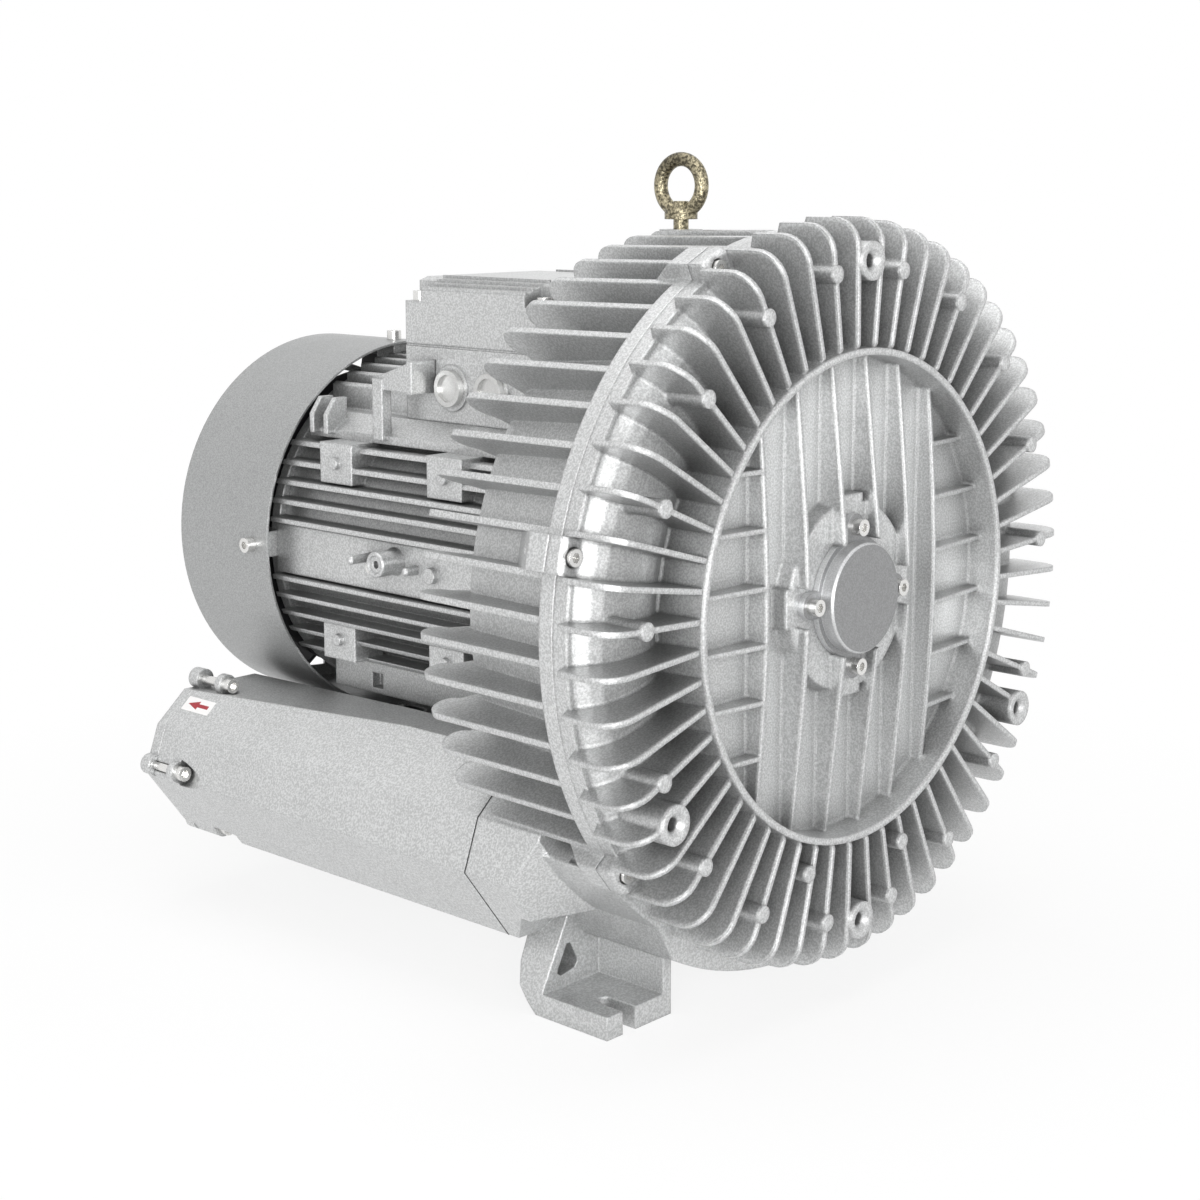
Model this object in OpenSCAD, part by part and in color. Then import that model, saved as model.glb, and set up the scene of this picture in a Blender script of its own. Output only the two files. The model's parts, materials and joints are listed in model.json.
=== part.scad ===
// High pressure side-channel blower with a built-on motor and two silencers.
// The shaft lies along Y, the finned cover faces -Y, the floor is Z = 0.

/* [Overall] */
// Height of the shaft above the floor
shaft_h = 315; // [308:1:340]
// Number of fins round the cover and the casing
fin_count = 56; // [48:4:60]

/* [Impeller cover] */
// Outer radius of the raised front ring
ring_r = 187; // [184:1:189]
// Wall of the raised front ring
ring_wall = 6; // [5:0.5:7]
// Depth of the recess inside the front ring
recess_depth = 27; // [24:1:28]
// Distance from the front ring edge to the flange
cover_depth = 46; // [44:1:50]
// Thickness of the flange on the cover
cover_flange_t = 14; // [12:1:16]
// Radius of the flanges of the cover and the casing
flange_r = 273; // [270:1:276]
// Outer radius of the fins on the cover
cover_fin_r = 283; // [279:1:287]
// Thickness of the fins on the cover
cover_fin_t = 4; // [3:0.5:5]
// Pitch of the ribs inside the recess
rib_pitch = 42; // [40:1:43]
// Thickness of the ribs inside the recess
rib_t = 3.5; // [2.5:0.5:5]
// Radius of the hub face that carries the bearing cap
hub_r = 72; // [70:1:76]
// Radius of the boss circle on the cover
boss_circle_r = 251; // [248:1:254]
// Radius of the large bosses
big_boss_r = 14.5; // [13:0.5:16]
// Radius of the small bosses
small_boss_r = 6.5; // [5:0.5:7]
// Radius of the tapped holes in the large bosses
boss_hole_r = 5.1; // [4.2:0.1:6]

/* [Bearing cap] */
// Radius of the round face of the bearing cap
cap_r = 42; // [40:0.5:44]
// Radius of the screw circle of the bearing cap
cap_screw_circle_r = 53; // [52:0.5:55]

/* [Casing] */
// Thickness of the flange on the casing
casing_flange_t = 13; // [11:1:15]
// Depth of the casing behind the parting plane
casing_depth = 123; // [121:1:126]
// Outer radius of the casing wall at the flange
casing_r = 250; // [248:1:253]
// Height of the casing fin tips over the shaft
casing_fin_r = 270; // [264:0.5:274]
// Thickness of the fins on the casing
casing_fin_t = 5; // [4:0.5:6]
// How far the casing fins stand behind the casing
fin_overhang = 20; // [16:1:22]
// Radius of the recess that takes the motor
motor_recess_r = 180; // [178:1:181]
// Outer radius of the smooth lower shell
lower_shell_r = 297; // [290:1:300]

/* [Channel and impeller] */
// Inner radius of the side channel
channel_r0 = 192; // [190:1:195]
// Outer radius of the side channel
channel_r1 = 232; // [230:1:234]
// Outer radius of the blade ring
impeller_r = 238; // [236:0.5:239]
// Gap between the blade ring and the casing
tip_gap = 2; // [1:0.5:2.5]
// Number of impeller blades
blade_count = 52; // [40:1:60]
// Thickness of the impeller blades
blade_t = 3; // [2:0.5:4]
// Axial width of the blade ring
blade_w = 38; // [34:1:40]
// Radius of the impeller hub
impeller_hub_r = 44; // [40:1:50]

/* [Feet] */
// Distance from the middle plane to the outer side of a foot
foot_x = 190; // [186:1:196]
// Width of a foot
foot_w = 63; // [58:1:68]
// Thickness of the foot plate
foot_plate_t = 18; // [15:1:20]
// Distance from the front ring edge to the front of the feet
foot_front = 87; // [84:1:92]
// Length of the foot plate under the pocket
foot_len = 66; // [62:1:70]
// Width of the slot for the foot bolt
slot_w = 14; // [11:0.5:16]
// Length of the slot from its mouth to its round end
slot_len = 31; // [28:1:40]

/* [Shaft and bearings] */
// Front bearing: bore, outside diameter and width
front_bearing = [40, 90, 23];
// Drive side bearing of the motor: bore, outside diameter and width
drive_bearing = [60, 130, 31];
// Rear bearing of the motor: bore, outside diameter and width
rear_bearing = [50, 110, 27];
// Radius of the shaft under the impeller
impeller_seat_r = 24; // [22:0.5:25]
// Radius of the shaft under the rotor core
core_seat_r = 35.5; // [34:0.5:38]
// Radius of the shaft under the cooling fan
fan_seat_r = 22; // [18:0.5:23]
// Radial running clearance of the shaft in its seals
run_gap = 0.05; // [0.02:0.01:0.1]

/* [Motor] */
// Radius of the frame wall between the fins
frame_r = 140; // [138:1:142]
// Radius over the frame fins
frame_fin_r = 156; // [153:1:158]
// Inner radius of the frame
frame_bore_r = 125; // [122:0.5:127]
// Pitch of the frame fins
frame_fin_pitch = 16; // [14:0.5:17]
// Thickness of the frame fins
frame_fin_t = 4; // [3:0.5:5]
// Distance from the front ring edge to the rear end of the frame
frame_end = 512; // [508:1:516]
// Length of the rotor and stator cores
core_len = 220; // [200:1:230]
// Radius of the rotor core
rotor_r = 80; // [76:0.5:84]
// Air gap between rotor and stator
air_gap = 0.5; // [0.4:0.1:1]

/* [Fan and cowl] */
// Outer radius of the fan cowl
cowl_r = 166; // [163:1:168]
// Sheet thickness of the fan cowl
cowl_t = 2; // [1.5:0.5:3]
// Distance from the front ring edge to the rim of the cowl
cowl_front = 503; // [500:1:506]
// Length of the fan cowl
cowl_len = 126; // [120:1:135]
// Outer radius of the cooling fan
fan_r = 150; // [140:1:154]
// Number of fan blades
fan_blades = 9; // [6:1:12]

/* [Terminal box] */
// Half of the width of the terminal box
box_half_w = 95; // [90:1:100]
// Length of the terminal box along the shaft
box_len = 166; // [160:1:172]
// Distance from the front ring edge to the front of the terminal box
box_front = 240; // [236:1:244]
// Height of the terminal box bottom over the shaft
box_z = 132; // [131:1:136]
// Height of the box below its lid
box_h = 41; // [38:1:44]
// Height of the lid without its ribs
lid_h = 44; // [40:1:48]
// Wall of the box and the lid
box_wall = 5; // [4:0.5:6]
// Thickness of the box gasket
gasket_t = 2; // [1:0.5:3]
// Radius of the blanking plug heads
plug_r = 19; // [17:0.5:20]

/* [Silencers] */
// Wall of the silencer castings
silencer_wall = 6; // [4:0.5:8]
// Length of a silencer casting
silencer_len = 389; // [380:1:395]
// Depth of the rear end cover of a silencer
end_depth = 18; // [15:1:22]
// Major radius of the pipe thread in the ports
port_r = 43.9; // [37:0.1:45]
// Length of the port boss behind the end cover
port_len = 8; // [6:1:14]

/* [Lifting eye] */
// Distance from the front ring edge to the lifting eye
eye_y = 183; // [178:1:186]
// Outer diameter of the eye
eye_od = 52; // [50:1:58]
// Inner diameter of the eye
eye_id = 30; // [27:1:32]

/* [Hidden] */
$fa = 3;
$fs = 1;

// Stations along the shaft, measured rearwards from the front ring edge
parting_s = cover_depth + cover_flange_t;
casing_bore_r = impeller_r + tip_gap;
casing_rear_s = parting_s + casing_depth;
hub_face_s = 14;
cap_face_s = -2;
front_bearing_s = 18;
washer_t = 2;
sleeve_s = front_bearing_s + front_bearing[2];
blade_s = parting_s + 8;
impeller_s = parting_s + 2;
impeller_len = 46;
shoulder_s = impeller_s + impeller_len;
plate_s = shoulder_s + 4;
plate_t = 12;
plate_rear_s = plate_s + plate_t;
drive_bearing_s = plate_rear_s + 4;
drive_hub_s = drive_bearing_s + drive_bearing[2] + 4;
retainer_t = 5;
core_s = 215;
core_rear_s = core_s + core_len;
end_ring_t = 12;
winding_len = 34;
rear_bearing_s = frame_end - 12;
rear_shield_t = 10;
fan_s = frame_end + 36;
fan_len = 42;
circlip_t = 2;
shaft_front_s = 7;
shaft_rear_s = fan_s + fan_len + 10;
cowl_rear_s = cowl_front + cowl_len;
silencer_s = casing_rear_s + 3;
silencer_end_s = silencer_s + silencer_len;
box_rear = box_front + box_len;

// The origin is under the middle of the whole length
front_most_s = -3;
y_shift = -(front_most_s + cowl_rear_s) / 2;

// Colours
cast_silver = [0.76, 0.77, 0.77];
dark_silver = [0.62, 0.63, 0.63];
zinc = [0.80, 0.80, 0.78];
steel = [0.56, 0.57, 0.58];
brass = [0.78, 0.66, 0.36];
khaki_zinc = [0.55, 0.50, 0.38];
copper = [0.72, 0.43, 0.25];
black = [0.10, 0.10, 0.10];
foam_grey = [0.28, 0.28, 0.29];

// Local frame on the shaft: x to the right, y down, z rearwards
module on_shaft() {
    translate([0, y_shift, shaft_h]) rotate([-90, 0, 0]) children();
}

// Turns +x to the direction phi, clockwise from the top seen from the front
module toward(phi) {
    rotate([0, 0, phi - 90]) children();
}

// Solid of revolution from points [radius, station]
module revolve(points) {
    rotate_extrude() polygon(points);
}

module tube(r0, r1, s0, s1) {
    revolve([[r0, s0], [r1, s0], [r1, s1], [r0, s1]]);
}

module rod(r, s0, s1) {
    translate([0, 0, s0]) cylinder(r = r, h = s1 - s0);
}

// Radial plate from points [radius, station]
module radial_plate(points, t) {
    rotate([90, 0, 0]) linear_extrude(t, center = true) polygon(points);
}

// Prism along the shaft from points [x, height over the shaft]
module along_shaft(points, s0, s1) {
    translate([0, 0, s0]) linear_extrude(s1 - s0)
        polygon([for (p = points) [p[0], -p[1]]]);
}

// Prism across the shaft from points [station, height over the shaft]
module across_shaft(points, x0, x1) {
    translate([x0, 0, 0]) rotate([0, 90, 0]) linear_extrude(x1 - x0)
        polygon([for (p = points) [-p[0], -p[1]]]);
}

// Box from ranges of x, height over the shaft and station
module block(x, z, s) {
    translate([x[0], -z[1], s[0]]) cube([x[1] - x[0], z[1] - z[0], s[1] - s[0]]);
}

function arc(c, r, a0, a1, n) =
    [for (i = [0:n]) let (a = a0 + (a1 - a0) * i / n) c + r * [cos(a), sin(a)]];

function flip(points) = [for (p = points) [-p[0], p[1]]];

// Socket head screw, head at z < 0 and shank towards +z
module cap_screw(d, len) {
    head_h = d;
    difference() {
        union() {
            translate([0, 0, -head_h]) cylinder(r = 0.8 * d, h = head_h);
            cylinder(r = d / 2, h = len);
        }
        translate([0, 0, -head_h - 1]) cylinder(r = 0.45 * d, h = 0.55 * head_h + 1, $fn = 6);
    }
}

// Fins
fin_pitch = 360 / fin_count;
function fin_phi(k) = (k + 0.5) * fin_pitch;

cover_fin_corner = 21;
cover_fin_front = -1;
bulge_s = 28.5;
bulge_r0 = ring_r + 3;
bulge_r1 = flange_r - 5;
function bulge_r(share) = bulge_r0 + share * (bulge_r1 - bulge_r0);
bulge = [for (p = [[0, 41], [0.09, 36], [0.205, 32], [0.335, 29.6], [0.46, bulge_s],
    [0.59, 28.8], [0.705, 30.2], [0.81, 32.8], [0.91, 37.6], [1, 44]]) [bulge_r(p[0]), p[1]]];

module cover_fin() {
    corner = [cover_fin_r - cover_fin_corner, cover_fin_front + cover_fin_corner];
    radial_plate(concat([[ring_r - 2, 4], [ring_r + 3, 1]],
        arc(corner, cover_fin_corner, -90, 0, 6),
        [[cover_fin_r, cover_depth], [flange_r - 1, cover_depth + 4], [bulge_r(0.77), 37],
         [bulge_r(0.46), 33], [bulge_r(0.205), 37], [ring_r + 1, 40], [ring_r - 2, 36]]),
        cover_fin_t);
}

// Fins that carry a small boss, by number from the top
boss_fins = [1, 4, 7, 10, 13, 17, 20, 23, 26, 29, 32, 35, 38, 42, 45, 48, 51, 54];
small_boss_circle_r = 246;
inner_boss_circle_r = 209;
inner_boss_phi = [165, 198];
big_boss_phi = [0, 120, 180, 240];
boss_face_s = -3;
boss_hole_depth = 25;

// Lugs for the screws that hold the cover
lug_count = 7;
lug_circle_r = flange_r + 2;
lug_w = 26;
lug_outer_r = lug_circle_r + 10;
lug_chamfer = 3;
lug_flat_end_s = parting_s + 18;
lug_slope_end_s = parting_s + 62;
lug_hole_end_s = parting_s + 38;
// The lugs stay clear of the parting plane by this much
lug_relief = 0.4;
lug_face_s = cover_depth - 1;
lug_seat_s = lug_face_s + 5;
cover_screw_d = 8;
function lug_phi(k) = 180 + k * 360 / lug_count;

module at_lugs() {
    for (k = [0:lug_count - 1]) toward(lug_phi(k)) translate([lug_circle_r, 0, 0]) children();
}

module cover_lugs() {
    for (k = [0:lug_count - 1]) toward(lug_phi(k))
        radial_plate([[bulge_r1 - 6, lug_face_s], [lug_outer_r - lug_chamfer, lug_face_s],
            [lug_outer_r, lug_face_s + lug_chamfer], [lug_outer_r, parting_s - lug_relief],
            [bulge_r1 - 6, parting_s - lug_relief]], lug_w);
}

// On the casing the lugs slope down to the wall behind the flange
module casing_lugs() {
    for (k = [0:lug_count - 1]) toward(lug_phi(k))
        radial_plate([[casing_r - 8, parting_s + lug_relief],
            [lug_outer_r, parting_s + lug_relief], [lug_outer_r, lug_flat_end_s],
            [casing_r - 2, lug_slope_end_s], [casing_r - 8, lug_slope_end_s]], lug_w);
}

module at_quarters(start, r) {
    for (phi = [0:90:270]) toward(phi + start) translate([r, 0, 0]) children();
}

hub_back_r = 60;
bearing_shoulder = 7;
hub_back_s = sleeve_s + washer_t + bearing_shoulder;
floor_t = 10;
spigot_t = 4;
fit_gap = 0.1;

module cover_body() {
    fb_r = front_bearing[1] / 2;
    shoulder_front = sleeve_s + washer_t;
    revolve(concat([[fb_r, hub_face_s], [hub_r, hub_face_s],
        [hub_r + 3, recess_depth], [ring_r - ring_wall, recess_depth],
        [ring_r - ring_wall + 1, 0], [ring_r, 0]], bulge,
        [[bulge_r1 + 1, cover_depth], [flange_r, cover_depth], [flange_r, parting_s],
         [casing_bore_r - fit_gap, parting_s],
         [casing_bore_r - fit_gap, parting_s + spigot_t],
         [channel_r1, parting_s + spigot_t], [channel_r1, 50], [222, 40], [206, 40],
         [channel_r0, 54], [channel_r0, parting_s + 6],
         [channel_r0 - 10, parting_s + 6], [channel_r0 - 10, recess_depth + floor_t],
         [hub_back_r, recess_depth + floor_t], [hub_back_r, hub_back_s],
         [fb_r - bearing_shoulder, hub_back_s], [fb_r - bearing_shoulder, shoulder_front],
         [fb_r, shoulder_front]]));
}

// Space that the ribs of the recess fill, its front sloping to the wall
rib_front_hub = 2;
rib_front_wall = 17;
module rib_space() {
    revolve([[cap_r + 5.5, rib_front_hub], [ring_r - ring_wall + 0.8, rib_front_wall],
        [ring_r - ring_wall + 0.8, recess_depth + 1], [cap_r + 5.5, recess_depth + 1]]);
}

hub_pad_half = 15;
hub_pad_reach = 77;
module recess_ribs() {
    difference() {
        intersection() {
            union() {
                for (i = [-2.5:1:2.5])
                    block([i * rib_pitch - rib_t / 2, i * rib_pitch + rib_t / 2],
                        [-ring_r, ring_r], [-1, recess_depth + 1]);
                for (side = [-1, 1], i = [-2.5:1:2.5])
                    block(side > 0 ? [2.5 * rib_pitch, ring_r] : [-ring_r, -2.5 * rib_pitch],
                        [i * rib_pitch - rib_t / 2, i * rib_pitch + rib_t / 2],
                        [-1, recess_depth + 1]);
            }
            rib_space();
        }
        for (side = [-1, 1])
            block(side > 0 ? [cap_r + 7, hub_pad_reach] : [-hub_pad_reach, -cap_r - 7],
                [-hub_pad_half, hub_pad_half], [-2, hub_face_s]);
    }
}

module impeller_cover() {
    color(cast_silver) on_shaft() difference() {
        union() {
            cover_body();
            for (k = [0:fin_count - 1]) toward(fin_phi(k)) cover_fin();
            recess_ribs();
            for (phi = [0:90:270]) toward(phi)
                block([hub_r - 12, hub_pad_reach], [-hub_pad_half, hub_pad_half],
                    [hub_face_s, recess_depth + 1]);
            for (k = boss_fins) toward(fin_phi(k)) translate([small_boss_circle_r, 0, 0])
                rod(small_boss_r, cap_face_s, bulge_s + 6);
            for (phi = inner_boss_phi) toward(phi) translate([inner_boss_circle_r, 0, 0])
                rod(small_boss_r, cap_face_s, bulge_s + 6);
            for (phi = big_boss_phi) toward(phi) translate([boss_circle_r, 0, 0])
                rod(big_boss_r, boss_face_s, bulge_s + 8);
            cover_lugs();
        }
        for (phi = big_boss_phi) toward(phi) translate([boss_circle_r, 0, 0]) {
            rod(boss_hole_r, boss_face_s - 1, boss_face_s + boss_hole_depth);
            translate([0, 0, boss_face_s - 1])
                cylinder(r1 = boss_hole_r + 5, r2 = boss_hole_r, h = 5);
        }
        for (phi = [0:90:270]) toward(phi) translate([cap_screw_circle_r, 0, 0])
            rod(cap_screw_d / 2, hub_face_s - 1, hub_face_s + cap_screw_len);
        at_lugs() {
            rod(cover_screw_d / 2 + 0.5, lug_seat_s - 1, parting_s + 1);
            rod(cover_screw_d * 0.8 + 1, cover_depth - 20, lug_seat_s);
        }
    }
}

cap_screw_d = 8;
cap_screw_len = 14;
cap_flange_t = 5;
cap_seat_s = hub_face_s - cap_flange_t;
cap_ear_r = 10;
cap_cavity_r = 34;

module bearing_cap() {
    spigot_r = front_bearing[1] / 2 - fit_gap;
    color(cast_silver) on_shaft() difference() {
        union() {
            revolve([[0, cap_face_s], [cap_r - 1.5, cap_face_s], [cap_r, cap_face_s + 1.5],
                [cap_r, cap_seat_s], [cap_r + 4, cap_seat_s], [cap_r + 4, hub_face_s],
                [spigot_r, hub_face_s], [spigot_r, front_bearing_s], [0, front_bearing_s]]);
            for (phi = [0:90:270]) toward(phi) {
                translate([cap_screw_circle_r, 0, 0]) rod(cap_ear_r, cap_seat_s, hub_face_s);
                block([cap_r - 6, cap_screw_circle_r], [-cap_ear_r, cap_ear_r],
                    [cap_seat_s, hub_face_s]);
            }
        }
        rod(cap_cavity_r, cap_face_s + 5, front_bearing_s + 1);
        for (phi = [0:90:270]) toward(phi) translate([cap_screw_circle_r, 0, 0])
            rod(cap_screw_d / 2 + 0.5, cap_seat_s - 1, hub_face_s + 1);
    }
}

module cap_screws() {
    color(zinc) on_shaft() for (phi = [0:90:270]) toward(phi)
        translate([cap_screw_circle_r, 0, cap_seat_s])
            cap_screw(cap_screw_d, cap_flange_t + cap_screw_len);
}

cover_screw_grip = 16;
module cover_screws() {
    color(zinc) on_shaft() at_lugs()
        translate([0, 0, lug_seat_s]) cap_screw(cover_screw_d, parting_s - lug_seat_s + cover_screw_grip);
}

// Outline of the left silencer and of the casing block in front of it
silencer_top = -119;
silencer_bottom = -257;
silencer_inner_x = -12;
outer_side = [[-180, silencer_top], [-224, -158], [-238, -197], [-193, silencer_bottom]];
silencer_outline = concat([[silencer_inner_x, -183], [-62, -166], [-108, -138], [-136, -121]],
    outer_side, [[silencer_inner_x, silencer_bottom]]);
block_outline = concat([[0, silencer_top]], outer_side, [[0, silencer_bottom]]);
block_front_s = casing_rear_s - 62;
casing_rear_r = casing_r - 9;
casing_corner = 15;
seal_r = drive_bearing[0] / 2 + 10;
seal_w = 12;
drive_hub_r = drive_bearing[1] / 2 + 15;
fin_nose = 12.5;

// Section of the side channel in the casing
function channel_section() = [[channel_r0, plate_s], [channel_r0, casing_rear_s - 25],
    [channel_r0 + 11, casing_rear_s - 13], [channel_r1 - 11, casing_rear_s - 13],
    [channel_r1, casing_rear_s - 25], [channel_r1, plate_s]];

module casing_body() {
    drive_r = drive_bearing[1] / 2;
    revolve(concat([[seal_r, plate_s]], channel_section(),
        [[casing_bore_r, plate_s - 4], [casing_bore_r, parting_s],
        [flange_r, parting_s], [flange_r, parting_s + casing_flange_t],
        [casing_r, parting_s + casing_flange_t], [casing_rear_r, casing_rear_s - casing_corner],
        [casing_rear_r - 4, casing_rear_s - 5], [casing_rear_r - 12, casing_rear_s],
        [motor_recess_r, casing_rear_s], [motor_recess_r, plate_rear_s],
        [drive_hub_r, plate_rear_s], [drive_hub_r, drive_hub_s], [drive_r, drive_hub_s],
        [drive_r, drive_bearing_s], [seal_r, drive_bearing_s]]));
}

module casing_fin(full) {
    nose = [casing_fin_r - fin_nose, casing_rear_s + fin_overhang - fin_nose];
    root = [[casing_rear_r - 12, casing_rear_s - 5], [casing_rear_r - 3, casing_rear_s - 22],
        [casing_r - 5, parting_s + casing_flange_t - 5],
        [flange_r - 1, parting_s + casing_flange_t - 5]];
    radial_plate(full ? concat(root, arc(nose, fin_nose, 0, 180, 10))
        : concat(root, [[casing_fin_r, casing_rear_s - 8], [casing_fin_r - 6, casing_rear_s]]),
        casing_fin_t);
}

// The lower sector has no fins: it is the smooth shell over the air passages
shell_half_angle = 51.5;
shell_side_r = lower_shell_r - 16;
// Upper and lower end of the slope between the shell's side and its low part
chin_slope = [[-166, -222], [-143, -264]];
function side_angle(k) = abs(fin_phi(k) - 180);

module shell_tube(r) {
    tube(casing_bore_r + 1, r, parting_s + 2, casing_rear_s);
}

module lower_shell() {
    intersection() {
        shell_tube(shell_side_r);
        linear_extrude(2 * casing_rear_s)
            polygon(concat([[0, 0]], arc([0, 0], 2 * lower_shell_r,
                90 - shell_half_angle, 90 + shell_half_angle, 2)));
    }
    intersection() {
        shell_tube(lower_shell_r);
        along_shaft(concat([[0, 0]], chin_slope, [[chin_slope[1][0] - 4, -2 * lower_shell_r]],
            flip([[chin_slope[1][0] - 4, -2 * lower_shell_r]]),
            flip([chin_slope[1], chin_slope[0]])), 0, casing_rear_s);
    }
}

// The block in front of each silencer rises from the shell in a cone, and above
// the foot it stands back along a slope
block_ledge_z = -231;
module silencer_block() {
    difference() {
        intersection() {
            along_shaft(block_outline, block_front_s, silencer_s);
            revolve([[0, block_front_s], [shell_side_r - 4, block_front_s],
                [shell_side_r + 41, block_front_s + 26], [2 * shell_side_r, block_front_s + 40],
                [2 * shell_side_r, silencer_s], [0, silencer_s]]);
        }
        across_shaft([[block_front_s - 1, block_ledge_z], [foot_rear, block_ledge_z],
            [silencer_s - 8, silencer_bottom - 4], [block_front_s - 1, silencer_bottom - 4]],
            -2 * foot_x, 1);
    }
}

// The space that the channel, the blade ring and the motor need
module casing_cavity() {
    rod(motor_recess_r, plate_rear_s, silencer_s + 1);
    rod(casing_bore_r, parting_s, plate_s);
    revolve(channel_section());
}

// Foot: plate with an open slot, two webs and the block behind them
web_t = 8;
foot_rear = foot_front + foot_len;
slot_x = 24;
foot_top = -shaft_h + foot_plate_t;
shell_foot_z = -262;
foot_web_top_z = -215;
foot_lean_h = 97;
// Rounded rear contour of the foot
foot_back = [for (p = [[8, 0], [17, 9], [24, 19], [31, 35]]) [foot_rear + p[0], p[1] - shaft_h]];
module foot() {
    x0 = -foot_x;
    x1 = -foot_x + foot_w;
    difference() {
        union() {
            block([x0, x1], [-shaft_h, foot_top], [foot_front, foot_rear + web_t]);
            block([x1 - 1, x1 + web_t], [-shaft_h, shell_foot_z], [foot_front, foot_rear + web_t]);
            across_shaft(concat([[foot_rear, -shaft_h]], foot_back,
                [[silencer_s, silencer_bottom], [silencer_s, foot_web_top_z],
                [foot_rear, foot_web_top_z]]), x0, x1 + web_t);
        }
        // The slot runs forwards to the front edge
        translate([x0 + slot_x, shaft_h + 1, foot_front + slot_len - slot_w / 2])
            rotate([90, 0, 0]) cylinder(r = slot_w / 2, h = foot_plate_t + 2);
        block([x0 + slot_x - slot_w / 2, x0 + slot_x + slot_w / 2],
            [-shaft_h - 1, foot_top + 1], [foot_front - 1, foot_front + slot_len - slot_w / 2]);
        // The outer side leans in above the plate
        translate([0, 0, foot_front - 1]) linear_extrude(casing_rear_s)
            polygon([[x0 - 1, -foot_top], [x0 - 1, -foot_top - foot_lean_h],
                [x0 + foot_lean_h / 2, -foot_top - foot_lean_h]]);
    }
}

// Triangular window in the front wall of a foot block, with cut corners
foot_window_points = [[16, 12], [20, 9], [35, 12], [38, 16], [37, 20], [30, 33], [26, 33], [17, 16]];
module foot_window() {
    along_shaft([for (p = foot_window_points) [p[0] - foot_x, foot_top + p[1]]],
        foot_rear - 1, foot_rear + 19);
}

// Air passage from the channel to a silencer
passage_x = [-146, -44];
passage_z = [-230, -190];
passage_s0 = plate_rear_s + 4;
silencer_screw_at = [[-205, -186], [-185, -238], [-28, -241], [-28, -203]];
silencer_screw_d = 8;
silencer_screw_len = 14;

stripper_half = 30;
eye_boss_r = 17;
eye_boss_top = casing_fin_r + 0.5;
eye_shank = 8;
eye_collar_r = 13;
eye_turn = -88;
eye_screw_d = 12;
eye_screw_len = 20;
retainer_screw_d = 6;
retainer_screw_r = (drive_bearing[1] / 2 + drive_hub_r) / 2;
retainer_screw_len = 14;
frame_screw_r = 160;
frame_screw_d = 10;
frame_screw_len = 10;

module at_frame_screws() {
    for (phi = [22.5:45:360]) toward(phi) translate([frame_screw_r, 0, 0]) children();
}

module both_sides() {
    for (side = [0, 1]) mirror([side, 0, 0]) children();
}

// A rod that points up from the shaft, at station s
module upright(r, s, z0, z1) {
    translate([0, -z0, s]) rotate([90, 0, 0]) cylinder(r = r, h = z1 - z0);
}

module casing() {
    color(cast_silver) on_shaft() difference() {
        union() {
            casing_body();
            difference() {
                union() {
                    lower_shell();
                    both_sides() silencer_block();
                }
                casing_cavity();
            }
            block([-stripper_half, stripper_half], [-channel_r1 - 2, -channel_r0 + 2],
                [plate_s, casing_rear_s - 8]);
            both_sides() foot();
            for (k = [0:fin_count - 1]) if (side_angle(k) > shell_half_angle + 1)
                toward(fin_phi(k)) casing_fin(side_angle(k) > shell_half_angle + 5);
            casing_lugs();
            upright(eye_boss_r, eye_y, casing_r - 14, eye_boss_top);
        }
        both_sides() block(passage_x, passage_z, [passage_s0, silencer_s + 1]);
        both_sides() foot_window();
        at_lugs() rod(cover_screw_d / 2, parting_s - 1, lug_hole_end_s);
        upright(eye_screw_d / 2, eye_y, eye_boss_top - eye_screw_len - 2, eye_boss_top + 1);
        at_quarters(45, retainer_screw_r)
            rod(retainer_screw_d / 2, drive_hub_s - retainer_screw_len, drive_hub_s + 1);
        at_frame_screws()
            rod(frame_screw_d / 2, plate_rear_s - frame_screw_len, plate_rear_s + 1);
        both_sides() for (p = silencer_screw_at) translate([p[0], -p[1], 0])
            rod(silencer_screw_d / 2, silencer_s - silencer_screw_len - 1, silencer_s + 1);
    }
}

module eye_bolt() {
    eye_r = (eye_od + eye_id) / 4;
    wire_r = (eye_od - eye_id) / 4;
    color(khaki_zinc) translate([0, y_shift + eye_y, shaft_h + eye_boss_top]) {
        translate([0, 0, eye_shank]) cylinder(r = eye_collar_r, h = 8);
        translate([0, 0, eye_shank]) cylinder(r1 = eye_collar_r - 2, r2 = wire_r, h = 14);
        translate([0, 0, -eye_screw_len])
            cylinder(r = eye_screw_d / 2, h = eye_screw_len + eye_shank + 1);
        translate([0, 0, eye_shank + eye_od / 2]) rotate([90, 0, eye_turn]) rotate_extrude()
            translate([eye_r, 0]) circle(r = wire_r);
    }
}

// Shaft
key_w = 14;
key_h = 9;
key_len = 36;
key_base = impeller_seat_r - 5.5;
key_s = impeller_s + 5;
drive_seat_r = drive_bearing[0] / 2;
rear_seat_r = rear_bearing[0] / 2;
front_seat_r = front_bearing[0] / 2;
rear_seat_end = rear_bearing_s + rear_bearing[2] + 5;

module key_space() {
    block([-key_w / 2, key_w / 2], [key_base, key_base + key_h], [key_s, key_s + key_len]);
}

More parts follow.
